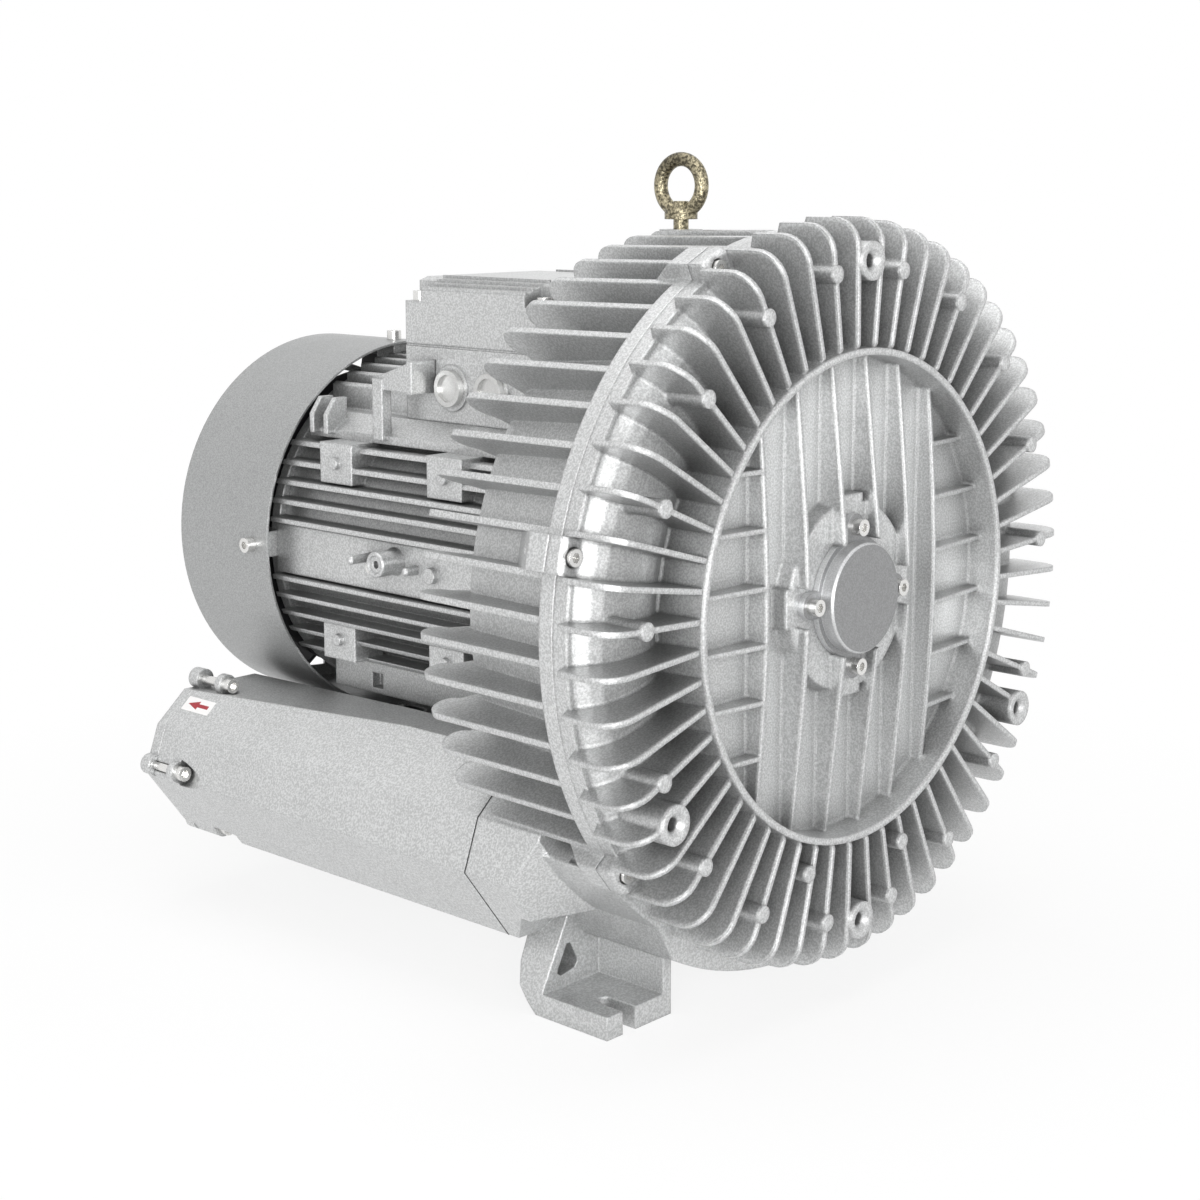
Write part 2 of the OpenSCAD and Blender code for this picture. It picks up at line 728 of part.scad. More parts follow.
module shaft() {
    color(steel) on_shaft() difference() {
        revolve([[0, shaft_front_s], [front_seat_r - 2, shaft_front_s],
            [front_seat_r, shaft_front_s + 2], [front_seat_r, impeller_s + 2],
            [impeller_seat_r, impeller_s + 2], [impeller_seat_r, shoulder_s],
            [drive_seat_r, shoulder_s], [drive_seat_r, drive_bearing_s + drive_bearing[2]],
            [core_seat_r, drive_bearing_s + drive_bearing[2]], [core_seat_r, core_rear_s],
            [core_seat_r - 4, core_rear_s], [core_seat_r - 4, rear_bearing_s],
            [rear_seat_r, rear_bearing_s], [rear_seat_r, rear_seat_end],
            [fan_seat_r, rear_seat_end], [fan_seat_r, shaft_rear_s - 2],
            [fan_seat_r - 2, shaft_rear_s], [0, shaft_rear_s]]);
        key_space();
    }
}

module impeller_key() {
    color(steel) on_shaft() key_space();
}

module spacer_sleeve() {
    color(steel) on_shaft() tube(front_seat_r, front_seat_r + 7, sleeve_s, impeller_s);
}

module shaft_nut() {
    nut_r = front_seat_r + 9;
    color(steel) on_shaft() difference() {
        tube(front_seat_r, nut_r, front_bearing_s - 9, front_bearing_s);
        at_quarters(45, nut_r) translate([-3, -3, front_bearing_s - 10]) cube([6, 6, 11]);
    }
}

// Impeller: hub, web, rim and radial blades open to the channel on both sides
rim_t = 8;
impeller_web_t = 10;
blade_rib_t = 5;
impeller_hole_circle_r = 110;
impeller_hole_r = 12;
module impeller() {
    mid_s = blade_s + blade_w / 2;
    color(dark_silver) on_shaft() difference() {
        union() {
            revolve([[impeller_seat_r, impeller_s], [impeller_hub_r, impeller_s],
                [impeller_hub_r + 6, mid_s - impeller_web_t / 2],
                [channel_r0 - 2, mid_s - impeller_web_t / 2],
                [channel_r0, blade_s], [channel_r0 + rim_t, blade_s],
                [channel_r0 + rim_t + 10, mid_s - blade_rib_t / 2],
                [impeller_r, mid_s - blade_rib_t / 2], [impeller_r, mid_s + blade_rib_t / 2],
                [channel_r0 + rim_t + 10, mid_s + blade_rib_t / 2],
                [channel_r0 + rim_t, blade_s + blade_w], [channel_r0, blade_s + blade_w],
                [channel_r0 - 2, mid_s + impeller_web_t / 2],
                [impeller_hub_r + 6, mid_s + impeller_web_t / 2],
                [impeller_hub_r, shoulder_s], [impeller_seat_r, shoulder_s]]);
            for (k = [0:blade_count - 1]) rotate([0, 0, k * 360 / blade_count])
                translate([channel_r0 + rim_t / 2, -blade_t / 2, blade_s])
                    cube([impeller_r - channel_r0 - rim_t / 2 - 0.5, blade_t, blade_w]);
        }
        key_space();
        for (phi = [30:60:360]) toward(phi) translate([impeller_hole_circle_r, 0, 0])
            rod(impeller_hole_r, impeller_s, shoulder_s);
    }
}

// Deep groove ball bearing from [bore, outside diameter, width]
function ball_r(b) = (b[1] - b[0]) * 0.15;
function pitch_r(b) = (b[0] + b[1]) / 4;
function race_gap() = 0.12;

module bearing_inner(b, s) {
    difference() {
        tube(b[0] / 2, pitch_r(b) - 0.62 * ball_r(b), s, s + b[2]);
        translate([0, 0, s + b[2] / 2]) rotate_extrude() translate([pitch_r(b), 0])
            circle(r = ball_r(b) + race_gap());
    }
}

module bearing_outer(b, s) {
    difference() {
        tube(pitch_r(b) + 0.62 * ball_r(b), b[1] / 2, s, s + b[2]);
        translate([0, 0, s + b[2] / 2]) rotate_extrude() translate([pitch_r(b), 0])
            circle(r = ball_r(b) + race_gap());
    }
}

module bearing_balls(b, s, count) {
    mid = s + b[2] / 2;
    tube(pitch_r(b) - 1.2, pitch_r(b) + 1.2, mid - 3, mid + 3);
    for (k = [0:count - 1]) rotate([0, 0, k * 360 / count]) translate([pitch_r(b), 0, mid])
        sphere(r = ball_r(b));
}

module front_bearing_outer() {
    color(steel) on_shaft() bearing_outer(front_bearing, front_bearing_s);
}
module front_bearing_inner() {
    color(steel) on_shaft() bearing_inner(front_bearing, front_bearing_s);
}
module front_bearing_balls() {
    color(zinc) on_shaft() bearing_balls(front_bearing, front_bearing_s, 8);
}
module drive_bearing_outer() {
    color(steel) on_shaft() bearing_outer(drive_bearing, drive_bearing_s);
}
module drive_bearing_inner() {
    color(steel) on_shaft() bearing_inner(drive_bearing, drive_bearing_s);
}
module drive_bearing_balls() {
    color(zinc) on_shaft() bearing_balls(drive_bearing, drive_bearing_s, 8);
}
module rear_bearing_outer() {
    color(steel) on_shaft() bearing_outer(rear_bearing, rear_bearing_s);
}
module rear_bearing_inner() {
    color(steel) on_shaft() bearing_inner(rear_bearing, rear_bearing_s);
}
module rear_bearing_balls() {
    color(zinc) on_shaft() bearing_balls(rear_bearing, rear_bearing_s, 9);
}

module wave_washer() {
    color(steel) on_shaft() tube(front_bearing[1] / 2 - 5.5, front_bearing[1] / 2 - 0.5,
        sleeve_s, sleeve_s + washer_t);
}

module shaft_seal() {
    color(black) on_shaft() tube(drive_seat_r + run_gap, seal_r, plate_s, plate_s + seal_w);
}

module drive_bearing_retainer() {
    drive_r = drive_bearing[1] / 2;
    color(dark_silver) on_shaft() difference() {
        revolve([[pitch_r(drive_bearing) + 8, drive_bearing_s + drive_bearing[2]],
            [drive_r - fit_gap, drive_bearing_s + drive_bearing[2]],
            [drive_r - fit_gap, drive_hub_s], [drive_hub_r, drive_hub_s],
            [drive_hub_r, drive_hub_s + retainer_t],
            [core_seat_r + 4, drive_hub_s + retainer_t], [core_seat_r + 4, drive_hub_s],
            [pitch_r(drive_bearing) + 8, drive_hub_s]]);
        at_quarters(45, retainer_screw_r)
            rod(retainer_screw_d / 2, drive_hub_s - 1, drive_hub_s + retainer_t + 1);
    }
}

// Points a screw's head to the rear
module facing_rear(s) {
    translate([0, 0, s]) mirror([0, 0, 1]) children();
}

module retainer_screws() {
    color(zinc) on_shaft() at_quarters(45, retainer_screw_r)
        facing_rear(drive_hub_s + retainer_t)
            cap_screw(retainer_screw_d, retainer_t + retainer_screw_len - 1);
}

// Motor frame
frame_flange_r = 172;
frame_flange_t = 12;
fin_front_s = casing_rear_s + 8;
strip_z = [-24, 18];
strip_x = frame_fin_r - 8;
deck_x = 118;
deck_z = [92, 112];
deck_s = [225, cowl_front - 3];
pad_x = 110;
pad_z = 75;
pad_s = [308, 440];
foot_deck = [108, -126];
shield_screw_r = (frame_bore_r + frame_r) / 2;
shield_screw_d = 8;
shield_screw_len = 18;
box_screw_x = 40;
box_screw_d = 6;
box_screw_s = [box_front + 22, box_rear - 22];
earth_at = [378, -3];
earth_boss_r = 8;

module side_fins() {
    for (side = [-1, 1], up = [-1, 1], i = [0:4]) {
        z = up * (25 + i * frame_fin_pitch) - 3;
        block(side > 0 ? [100, frame_fin_r] : [-frame_fin_r, -100],
            [z - frame_fin_t / 2, z + frame_fin_t / 2], [fin_front_s, frame_end]);
    }
}

module top_fins() {
    for (i = [-5:5], s = [[fin_front_s, box_front - 6], [box_rear + 8, frame_end]])
        block([i * frame_fin_pitch - frame_fin_t / 2, i * frame_fin_pitch + frame_fin_t / 2],
            [frame_r - 40, frame_fin_r], s);
}

module frame_fins() {
    intersection() {
        union() {
            side_fins();
            top_fins();
        }
        tube(frame_bore_r + 5, frame_fin_r, fin_front_s, frame_end);
    }
}

module frame_decks() {
    difference() {
        union() {
            along_shaft([[-deck_x, deck_z[0]], [deck_x, deck_z[0]], [deck_x, deck_z[0] + 7],
                [box_half_w + 2, deck_z[1]], [-box_half_w - 2, deck_z[1]],
                [-deck_x, deck_z[0] + 7]], deck_s[0], deck_s[1]);
            block([-foot_deck[0], foot_deck[0]], [foot_deck[1], -92], [230, cowl_front - 18]);
            both_sides() block([-strip_x, -frame_bore_r - 6], strip_z, [fin_front_s, frame_end]);
            both_sides() for (s = pad_s, up = [-1, 1])
                block([-frame_r - 1, -pad_x], [up * pad_z - 17, up * pad_z + 17], [s - 20, s + 20]);
        }
        rod(frame_bore_r + 6, fin_front_s - 20, frame_end + 1);
        both_sides() block([-foot_deck[0] - 1, -foot_deck[0] + 9], [-121, -108], [423, 437]);
    }
}

// Cast arm and post beside the terminal box, and two gussets near the cowl
module frame_brackets() {
    block([-124, -114], [deck_z[0] + 4, 147], [box_rear - 6, box_rear + 6]);
    across_shaft([[box_rear + 6, 137], [box_rear + 6, 147], [box_rear - 40, 163],
        [box_rear - 40, 136], [box_rear - 18, 138]], -122, -112);
    block([-122, -box_half_w - 0.5], [136, 163], [box_rear - 40, box_rear - 34]);
    both_sides() for (s = [cowl_front - 35, cowl_front - 17])
        along_shaft([[-126, 96], [-104, 96], [-104, 126], [-116, 126], [-126, 112]], s, s + 5);
}

// A rod that points to the left from x0 to x1, at height z and station s
module leftward(r, z, s, x0, x1) {
    translate([-x0, -z, s]) rotate([0, -90, 0]) cylinder(r = r, h = x1 - x0);
}

module motor_frame() {
    color(cast_silver) on_shaft() difference() {
        union() {
            revolve([[frame_bore_r, plate_rear_s], [frame_flange_r, plate_rear_s],
                [frame_flange_r, plate_rear_s + frame_flange_t],
                [frame_r, plate_rear_s + frame_flange_t], [frame_r, frame_end],
                [frame_bore_r, frame_end]]);
            frame_fins();
            frame_decks();
            frame_brackets();
            leftward(earth_boss_r, earth_at[1], earth_at[0], strip_x - 4, strip_x + 6);
            leftward(6.5, earth_at[1], earth_at[0] - 63, strip_x - 4, strip_x + 5);
            for (s = pad_s, up = [-1, 1])
                leftward(5, up * pad_z, s, frame_r - 2, frame_r + 5);
        }
        at_frame_screws() rod(frame_screw_d / 2, plate_rear_s - 1,
            plate_rear_s + frame_flange_t + 1);
        at_quarters(45, shield_screw_r)
            rod(shield_screw_d / 2, frame_end - shield_screw_len - 2, frame_end + 1);
        for (x = [-box_screw_x, box_screw_x], s = box_screw_s) translate([x, 0, 0])
            upright(box_screw_d / 2, s, frame_bore_r - 2, frame_r + 5);
        leftward(3, earth_at[1], earth_at[0], strip_x - 10, strip_x + 8);
    }
}

module frame_screws() {
    color(zinc) on_shaft() at_frame_screws() facing_rear(plate_rear_s + frame_flange_t)
        cap_screw(frame_screw_d, frame_flange_t + frame_screw_len - 1);
}

module earth_screw() {
    color(zinc) on_shaft() translate([-strip_x - 6, -earth_at[1], earth_at[0]])
        rotate([0, 90, 0]) cap_screw(6, 12);
}

module stator_core() {
    color(steel) on_shaft() tube(rotor_r + air_gap, frame_bore_r, core_s, core_rear_s);
}

module stator_windings() {
    r0 = rotor_r + air_gap + 4;
    r1 = frame_bore_r - 8;
    color(copper) on_shaft() for (s = [core_s - winding_len, core_rear_s])
        revolve([[r0, s], [r1 - 4, s], [r1, s + 5], [r1, s + winding_len - 5],
            [r1 - 4, s + winding_len], [r0, s + winding_len]]);
}

module rotor_core() {
    color(steel) on_shaft() tube(core_seat_r, rotor_r, core_s, core_rear_s);
}

module rotor_end_rings() {
    color(dark_silver) on_shaft() for (s = [core_s - end_ring_t, core_rear_s])
        tube(core_seat_r + 14, rotor_r - 2, s, s + end_ring_t);
}

// Rear shield with the bearing seat and the lugs that hold the cowl
rear_hub_r = rear_bearing[1] / 2 + 11;
rear_hub_s = rear_bearing_s - 4;
rear_wall_s = rear_bearing_s + rear_bearing[2];
cowl_screw_s = cowl_front + 21;
cowl_screw_d = 8;
cowl_screw_len = 16;
cowl_lug_half = 11;
cowl_lug_gap = 0.6;

module rear_shield() {
    bearing_r = rear_bearing[1] / 2;
    color(cast_silver) on_shaft() difference() {
        union() {
            revolve([[bearing_r, rear_hub_s], [rear_hub_r, rear_hub_s],
                [rear_hub_r, frame_end], [frame_bore_r - 10, frame_end],
                [frame_bore_r - 10, frame_end - 8], [frame_bore_r - fit_gap, frame_end - 8],
                [frame_bore_r - fit_gap, frame_end], [frame_r + 6, frame_end],
                [frame_r + 6, frame_end + rear_shield_t],
                [rear_hub_r, frame_end + rear_shield_t], [rear_hub_r, rear_wall_s + 4],
                [rear_seat_r + 2, rear_wall_s + 4], [rear_seat_r + 2, rear_wall_s],
                [bearing_r, rear_wall_s]]);
            for (phi = [0:90:270]) toward(phi)
                block([frame_r, cowl_r - cowl_t - cowl_lug_gap], [-cowl_lug_half, cowl_lug_half],
                    [frame_end, cowl_screw_s + 11]);
        }
        for (phi = [0:90:270]) toward(phi) translate([cowl_r - cowl_t + 1, 0, cowl_screw_s])
            rotate([0, -90, 0]) cylinder(r = cowl_screw_d / 2, h = cowl_screw_len);
        at_quarters(45, shield_screw_r)
            rod(shield_screw_d / 2, frame_end - 1, frame_end + rear_shield_t + 1);
    }
}

module shield_screws() {
    color(zinc) on_shaft() at_quarters(45, shield_screw_r)
        facing_rear(frame_end + rear_shield_t)
            cap_screw(shield_screw_d, rear_shield_t + shield_screw_len);
}

module cooling_fan() {
    color(black) on_shaft() {
        tube(fan_seat_r, fan_seat_r + 12, fan_s, fan_s + fan_len);
        tube(fan_seat_r + 11, fan_r - 12, fan_s + 8, fan_s + 13);
        for (k = [0:fan_blades - 1]) rotate([0, 0, k * 360 / fan_blades])
            radial_plate([[fan_seat_r + 20, fan_s + 12], [fan_r - 14, fan_s + 12],
                [fan_r, fan_s + 20], [fan_r, fan_s + 48], [fan_r - 60, fan_s + 48],
                [fan_seat_r + 20, fan_s + 30]], 4);
    }
}

module fan_circlip() {
    color(steel) on_shaft() tube(fan_seat_r, fan_seat_r + 5, fan_s + fan_len,
        fan_s + fan_len + circlip_t);
}

// Cowl: sheet drum with a rear grille of slots between rings and spokes
grille_rings = [44, 60, 76, 92, 108, 124, 140];
grille_slot = 9;
grille_spokes = 8;
module fan_cowl() {
    color(cast_silver) on_shaft() difference() {
        revolve([[0, cowl_rear_s - cowl_t], [cowl_r - cowl_t - 4, cowl_rear_s - cowl_t],
            [cowl_r - cowl_t, cowl_rear_s - cowl_t - 4], [cowl_r - cowl_t, cowl_front],
            [cowl_r, cowl_front], [cowl_r, cowl_rear_s - 5], [cowl_r - 5, cowl_rear_s],
            [0, cowl_rear_s]]);
        difference() {
            for (r = grille_rings) tube(r, r + grille_slot, cowl_rear_s - 4, cowl_rear_s + 1);
            for (k = [0:grille_spokes - 1]) rotate([0, 0, k * 360 / grille_spokes])
                translate([20, -4, cowl_rear_s - 5]) cube([cowl_r, 8, 8]);
        }
        for (phi = [0:90:270]) toward(phi) translate([cowl_r + 1, 0, cowl_screw_s])
            rotate([0, -90, 0]) cylinder(r = cowl_screw_d / 2 + 0.5, h = 5);
    }
}

module cowl_screws() {
    color(zinc) on_shaft() for (phi = [0:90:270]) toward(phi)
        translate([cowl_r, 0, cowl_screw_s]) rotate([0, -90, 0])
            cap_screw(cowl_screw_d, cowl_screw_len);
}

// Terminal box
box_bottom = deck_z[1];
box_top = box_z + box_h;
lid_bottom = box_top + gasket_t;
lid_top = lid_bottom + lid_h;
box_corner = 7;
plug_at = [box_front + 59, box_front + 106];
plug_z = 141;
plug_hole_r = 12;
lid_screw_x = box_half_w - 11;
lid_screw_s = [box_front + 11, box_rear - 11];
lid_screw_d = 8;
lid_notch = [20, 23];
lid_seat_z = lid_top - 9;
pillar_r = 9;

// Upright box with rounded corners, from height z0 to z1, set in by d
module rounded_box(d, z0, z1) {
    r = box_corner - d / 2;
    x = box_half_w - d;
    translate([0, -z0, 0]) rotate([90, 0, 0]) linear_extrude(z1 - z0) union() {
        translate([-x + r, box_front + d]) square([2 * x - 2 * r, box_len - 2 * d]);
        translate([-x, box_front + d + r]) square([2 * x, box_len - 2 * d - 2 * r]);
        for (sx = [-1, 1], s = [box_front + d + r, box_rear - d - r])
            translate([sx * (x - r), s]) circle(r = r);
    }
}

module terminal_box() {
    color(cast_silver) on_shaft() difference() {
        union() {
            difference() {
                rounded_box(0, box_bottom, box_top);
                difference() {
                    rounded_box(box_wall, box_bottom + box_wall, box_top + 1);
                    rod(frame_r + box_wall, box_front, box_rear);
                    for (x = [-lid_screw_x, lid_screw_x], s = lid_screw_s)
                        translate([x, 0, 0]) upright(pillar_r, s, box_bottom, box_top);
                    for (x = [-box_screw_x, box_screw_x], s = box_screw_s)
                        translate([x, 0, 0]) upright(8, s, box_bottom, frame_r + 9);
                }
            }
            for (s = plug_at) leftward(plug_r, plug_z, s, box_half_w - 2, box_half_w + 2);
        }
        rod(frame_r, box_front - 1, box_rear + 1);
        for (s = plug_at) leftward(plug_hole_r, plug_z, s, box_half_w - 8, box_half_w + 3);
        for (x = [-lid_screw_x, lid_screw_x], s = lid_screw_s)
            translate([x, 0, 0]) upright(lid_screw_d / 2, s, box_top - 22, box_top + 1);
        for (x = [-box_screw_x, box_screw_x], s = box_screw_s)
            translate([x, 0, 0]) upright(box_screw_d / 2, s, frame_r - 20, frame_r + 10);
    }
}

module terminal_box_screws() {
    color(zinc) on_shaft() for (x = [-box_screw_x, box_screw_x], s = box_screw_s)
        translate([x, -frame_r - 9, s]) rotate([-90, 0, 0]) cap_screw(box_screw_d, 18);
}

module box_gasket() {
    color(black) on_shaft() difference() {
        rounded_box(0.5, box_top, lid_bottom);
        difference() {
            rounded_box(box_wall, box_top - 1, lid_bottom + 1);
            for (x = [-lid_screw_x, lid_screw_x], s = lid_screw_s)
                translate([x, 0, 0]) upright(pillar_r, s, box_top - 2, lid_bottom + 2);
        }
        for (x = [-lid_screw_x, lid_screw_x], s = lid_screw_s)
            translate([x, 0, 0]) upright(lid_screw_d / 2, s, box_top - 1, lid_bottom + 1);
    }
}

// Lid with a crowned top, long ribs on its shoulders and stepped corners
lid_crown = 10;
lid_rib_pitch = 8.5;
lid_rib_count = 4;
lid_rib_h = 2.5;
crown_x = box_half_w - 29;
module terminal_lid() {
    slope = lid_crown / (box_half_w - crown_x);
    color(cast_silver) on_shaft() difference() {
        union() {
            intersection() {
                rounded_box(0, lid_bottom, lid_top + lid_crown);
                along_shaft([[-box_half_w, lid_bottom], [box_half_w, lid_bottom],
                    [box_half_w, lid_top], [crown_x, lid_top + lid_crown],
                    [-crown_x, lid_top + lid_crown], [-box_half_w, lid_top]],
                    box_front, box_rear);
            }
            both_sides() for (i = [0:lid_rib_count - 1]) {
                x = -box_half_w + 1 + i * lid_rib_pitch;
                z = lid_top + slope * (i * lid_rib_pitch + 1);
                block([x, x + 3], [z - 4, z + lid_rib_h],
                    [box_front + lid_notch[1] - 1, box_rear - lid_notch[1] + 1]);
            }
        }
        difference() {
            rounded_box(box_wall, lid_bottom - 1, lid_top - box_wall);
            for (x = [-lid_screw_x, lid_screw_x], s = lid_screw_s)
                translate([x, 0, 0]) upright(lid_notch[0] - 4, s, lid_bottom - 2, lid_top);
        }
        for (sx = [-1, 1], s = [box_front - 1, box_rear - lid_notch[1]])
            block(sx > 0 ? [box_half_w - lid_notch[0], box_half_w + 1]
                : [-box_half_w - 1, -box_half_w + lid_notch[0]],
                [lid_seat_z, lid_top + lid_crown + 1], [s, s + lid_notch[1] + 1]);
        for (x = [-lid_screw_x, lid_screw_x], s = lid_screw_s)
            translate([x, 0, 0]) upright(lid_screw_d / 2 + 0.5, s, lid_bottom - 1, lid_top);
    }
}

module lid_screws() {
    color(zinc) on_shaft() for (x = [-lid_screw_x, lid_screw_x], s = lid_screw_s)
        translate([x, -lid_seat_z, s]) rotate([-90, 0, 0])
            cap_screw(lid_screw_d, lid_seat_z - box_top + 20);
}

stud_x = [-20, 0, 20];
stud_s = [-14, 14];
board_z = frame_r + box_wall;
board_h = 16;
module terminal_block() {
    mid = (box_front + box_rear) / 2;
    color(black) on_shaft() difference() {
        union() {
            block([-34, 34], [board_z, board_z + board_h - 4], [mid - 30, mid + 30]);
            for (x = stud_x) block([x - 7, x + 7], [board_z, board_z + board_h],
                [mid - 26, mid + 26]);
        }
        for (x = stud_x, s = stud_s) translate([x, 0, 0])
            upright(3, mid + s, board_z + 3, board_z + board_h + 1);
    }
}

module terminal_studs() {
    mid = (box_front + box_rear) / 2;
    color(brass) on_shaft() for (x = stud_x, s = stud_s) translate([x, 0, 0]) {
        upright(3, mid + s, board_z + 3, board_z + board_h + 16);
        translate([0, -board_z - board_h, mid + s]) rotate([90, 0, 0])
            cylinder(r = 5.8, h = 5, $fn = 6);
    }
}

module blanking_plugs() {
    color(dark_silver) on_shaft() for (s = plug_at) difference() {
        union() {
            leftward(plug_hole_r, plug_z, s, box_half_w - box_wall, box_half_w + 3);
            leftward(plug_r - 4, plug_z, s, box_half_w + 2, box_half_w + 7);
        }
        leftward(plug_r - 8, plug_z, s, box_half_w + 4, box_half_w + 8);
    }
}

// Silencers: hollow castings with a foam lining and a dished end cover
function inset(p, d) = let (n = len(p)) [for (i = [0:n - 1])
    let (a = p[(i + n - 1) % n], b = p[i], c = p[(i + 1) % n],
        u = (b - a) / norm(b - a), v = (c - b) / norm(c - b),
        nu = [-u[1], u[0]], nv = [-v[1], v[0]])
    b + d / (1 + nu * nv) * (nu + nv)];

end_screw_at = [[-181, -124], [-234, -191], [-189, -249], [-22, -247], [-22, -193]];
// Which way out of the corner each pocket opens
end_screw_out = [[-0.35, 0.94], [-0.98, -0.18], [-0.55, -0.83], [0.71, -0.71], [0.71, 0.71]];
end_screw_d = 8;
end_lug_t = 32;
end_lug_r = 9;
end_ear_t = 7;
end_screw_len = 9;
pocket_r = 11;
pocket_len = 30;
pocket_tilt = 24;
lining_gap = 0.5;
lining_front_gap = 14;
lining_rear_gap = 64;
duct_r = 36;
port_at = [-134, -198];
front_wall_t = 8;
support_x = 60;
support_s = [455, 485];
support_screw_d = 8;
support_boss_h = 16;

// Keeps what lies under the top of a silencer, which falls to the rear, less d
silencer_slope_s = 310;
silencer_slope = 0.047;
function silencer_top_z(s) = silencer_top - (s - silencer_slope_s) * silencer_slope;
module under_top(d) {
    s0 = silencer_s - 1;
    s1 = silencer_end_s + 2 * end_depth;
    intersection() {
        children();
        across_shaft([[s0, -shaft_h], [s0, silencer_top_z(s0) - d],
            [s1, silencer_top_z(s1) - d], [s1, -shaft_h]], -2 * foot_x, 0);
    }
}

// Pocket for a screw head, its axis leaning outwards from the seat
module screw_pocket(p, out) {
    translate([p[0], -p[1], silencer_end_s - end_lug_t]) intersection() {
        rotate(a = pocket_tilt, v = [-out[1], -out[0], 0])
            rod(pocket_r, -2 * pocket_len, pocket_len);
        rod(4 * pocket_r, -pocket_len, 0);
    }
}

module silencer() {
    color(cast_silver) on_shaft() difference() {
        union() {
            difference() {
                under_top(0) along_shaft(silencer_outline, silencer_s, silencer_end_s);
                under_top(silencer_wall) along_shaft(inset(silencer_outline, silencer_wall),
                    silencer_s + front_wall_t, silencer_end_s + 1);
            }
            intersection() {
                under_top(1) along_shaft(inset(silencer_outline, 1),
                    silencer_end_s - lining_rear_gap + 1, silencer_end_s);
                for (p = end_screw_at) translate([p[0], -p[1], 0])
                    rod(pocket_r + 7, silencer_end_s - lining_rear_gap + 1, silencer_end_s);
            }
            for (p = end_screw_at) translate([p[0], -p[1], 0])
                rod(end_lug_r, silencer_end_s - end_lug_t,
                    silencer_end_s - end_lug_t + end_ear_t);
            for (s = support_s) translate([-support_x, 0, 0])
                upright(9, s, silencer_bottom, silencer_bottom + support_boss_h);
        }
        block(passage_x, passage_z, [silencer_s - 1, silencer_s + front_wall_t + 1]);
        for (p = end_screw_at) translate([p[0], -p[1], 0]) {
            rod(end_screw_d / 2 + 0.5, silencer_end_s - end_lug_t - 1, silencer_end_s + 1);
        }
        for (i = [0:len(end_screw_at) - 1]) screw_pocket(end_screw_at[i], end_screw_out[i]);
        for (p = silencer_screw_at) translate([p[0], -p[1], 0])
            rod(silencer_screw_d / 2 + 0.5, silencer_s - 1, silencer_s + front_wall_t + 1);
        for (s = support_s) translate([-support_x, 0, 0])
            upright(support_screw_d / 2, s, silencer_bottom - 1,
                silencer_bottom + support_boss_h - 3);
    }
}

module silencer_left() silencer();
module silencer_right() mirror([1, 0, 0]) silencer();

module absorber() {
    color(foam_grey) on_shaft() difference() {
        under_top(silencer_wall + lining_gap)
            along_shaft(inset(silencer_outline, silencer_wall + lining_gap),
                silencer_s + front_wall_t + lining_front_gap, silencer_end_s - lining_rear_gap);
        translate([port_at[0], -port_at[1], 0])
            rod(duct_r, silencer_s, silencer_end_s);
        for (s = support_s) translate([-support_x, 0, 0])
            upright(9.5, s, silencer_bottom - 1, silencer_bottom + support_boss_h + 1);
    }
}

module absorber_left() absorber();
module absorber_right() mirror([1, 0, 0]) absorber();

module end_cover() {
    color(cast_silver) on_shaft() difference() {
        union() {
            under_top(0) along_shaft(silencer_outline, silencer_end_s,
                silencer_end_s + end_depth - 6);
            under_top(7) along_shaft(inset(silencer_outline, 6), silencer_end_s + end_depth - 7,
                silencer_end_s + end_depth);
            for (p = end_screw_at) translate([p[0], -p[1], 0])
                rod(end_lug_r, silencer_end_s, silencer_end_s + end_depth - 6);
            translate([port_at[0], -port_at[1], 0])
                rod(port_r + 11, silencer_end_s, silencer_end_s + end_depth + port_len);
        }
        under_top(24) along_shaft(inset(silencer_outline, 24), silencer_end_s - 1,
            silencer_end_s + end_depth - 7);
        translate([port_at[0], -port_at[1], 0])
            rod(port_r, silencer_end_s - 1, silencer_end_s + end_depth + port_len + 1);
        for (p = end_screw_at) translate([p[0], -p[1], 0])
            rod(end_screw_d / 2, silencer_end_s - 1, silencer_end_s + end_screw_len + 1);
    }
}

module end_cover_left() end_cover();
module end_cover_right() mirror([1, 0, 0]) end_cover();

module end_cover_screws() {
    color(zinc) on_shaft() both_sides() for (p = end_screw_at)
        translate([p[0], -p[1], silencer_end_s - end_lug_t])
            cap_screw(end_screw_d, end_lug_t + end_screw_len);
}

module silencer_flange_screws() {
    color(zinc) on_shaft() both_sides() for (p = silencer_screw_at)
        translate([p[0], -p[1], 0]) facing_rear(silencer_s + front_wall_t)
            cap_screw(silencer_screw_d, front_wall_t + silencer_screw_len);
}

// Cast support under the rear of the silencers
support_half = 80;
support_front = 440;
support_len = 60;
support_base_t = 11;
support_hole_r = 6.5;
ear_z = silencer_bottom - 9;
support_screw_z = silencer_bottom - 13;
module rear_support() {
    color(cast_silver) on_shaft() difference() {
        along_shaft([[-support_half, -shaft_h], [support_half, -shaft_h],
            [support_half, -shaft_h + support_base_t], [38, -shaft_h + support_base_t + 6],
            [38, ear_z - 8], [support_half, ear_z], [support_half, silencer_bottom],
            [-support_half, silencer_bottom], [-support_half, ear_z], [-38, ear_z - 8],
            [-38, -shaft_h + support_base_t + 6],
            [-support_half, -shaft_h + support_base_t]],
            support_front, support_front + support_len);
        for (x = [-support_x, support_x], s = support_s) translate([x, 0, 0])
            {
            upright(support_screw_d / 2 + 0.5, s, support_screw_z - 10, silencer_bottom + 1);
            upright(support_screw_d, s, support_screw_z - 20, support_screw_z);
        }
        for (x = [-support_x, support_x]) translate([x, 0, 0])
            upright(support_hole_r, support_front + support_len / 2, -shaft_h - 1,
                -shaft_h + 20);
    }
}

